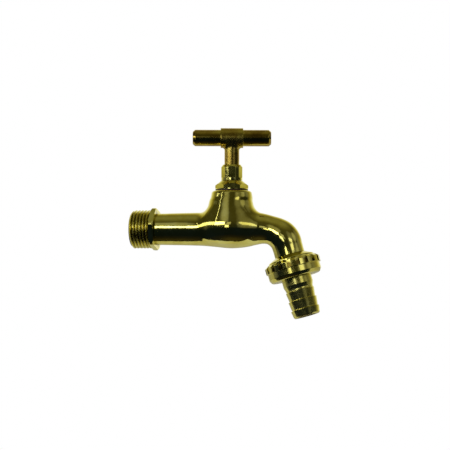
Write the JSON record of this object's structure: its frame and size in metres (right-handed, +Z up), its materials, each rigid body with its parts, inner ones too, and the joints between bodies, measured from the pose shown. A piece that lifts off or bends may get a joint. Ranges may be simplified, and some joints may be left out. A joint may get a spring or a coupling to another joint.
{
  "type": "water tap",
  "caption": "Brass bib tap: threaded inlet with a hexagon collar, bent spout, tee handle on a rising spindle, castellated union nut and barbed hose tail.",
  "frame": {"origin": "centre of the wall side face of the hexagon collar, where the inlet thread ends, on the inlet axis", "axes": "-X along the inlet thread into the wall, +X away from the wall, +Z up along the spindle, +Y to the back of the pictured side"},
  "size_m": [0.1054, 0.0304, 0.1041],
  "materials": {
    "cast_brass": "cast, ground and polished to a light lacquered shine",
    "turned_brass": "machined from bar, fine turning marks",
    "spindle_brass": "machined, browner and less bright than the body",
    "spring_bronze": "spring strip",
    "black_rubber": "moulded",
    "fibre": "red vulcanised fibre, flat",
    "packing_yarn": "greased yarn"
  },
  "bodies": {
    "tap": {"tap_body": "cast_brass", "headwork": "turned_brass", "headwork_gasket": "fibre", "gland_nut": "turned_brass", "gland_packing": "packing_yarn"},
    "valve": {"jumper": "turned_brass", "jumper_clip": "spring_bronze", "valve_washer": "black_rubber", "washer_nut": "turned_brass"},
    "handle": {"spindle": "spindle_brass", "tee_bar": "spindle_brass"},
    "seal": {"hose_washer": "black_rubber"},
    "nut": {"union_nut": "turned_brass"},
    "tail": {"hose_tail": "turned_brass"}
  },
  "joints": [
    {"name": "jumper_lift", "type": "slide", "parent": "tap", "child": "valve", "axis": [0, 0, 1], "range_m": [0, 0.00375]},
    {"name": "spindle_turn", "type": "hinge", "parent": "valve", "child": "handle", "pos_m": [0.0445, 0, 0], "axis": [0, 0, 1], "range_deg": [0, 540]},
    {"name": "union_drop", "type": "slide", "parent": "tap", "child": "seal", "axis": [0.2823, 0, -0.9593], "range_m": [0, 0.00453]},
    {"name": "union_turn", "type": "hinge", "parent": "seal", "child": "nut", "pos_m": [0.07914, 0, -0.02155], "axis": [0.2823, 0, -0.9593], "range_deg": [0, 900]},
    {"name": "hose_tail_turn", "type": "hinge", "parent": "seal", "child": "tail", "pos_m": [0.07914, 0, -0.02155], "axis": [0.2823, 0, -0.9593], "continuous": true}
  ],
  "couplings": [
    {"joint": "spindle_turn", "follows": "jumper_lift", "rad_per_m": 2513.3},
    {"joint": "union_turn", "follows": "union_drop", "rad_per_m": 3463.7}
  ]
}
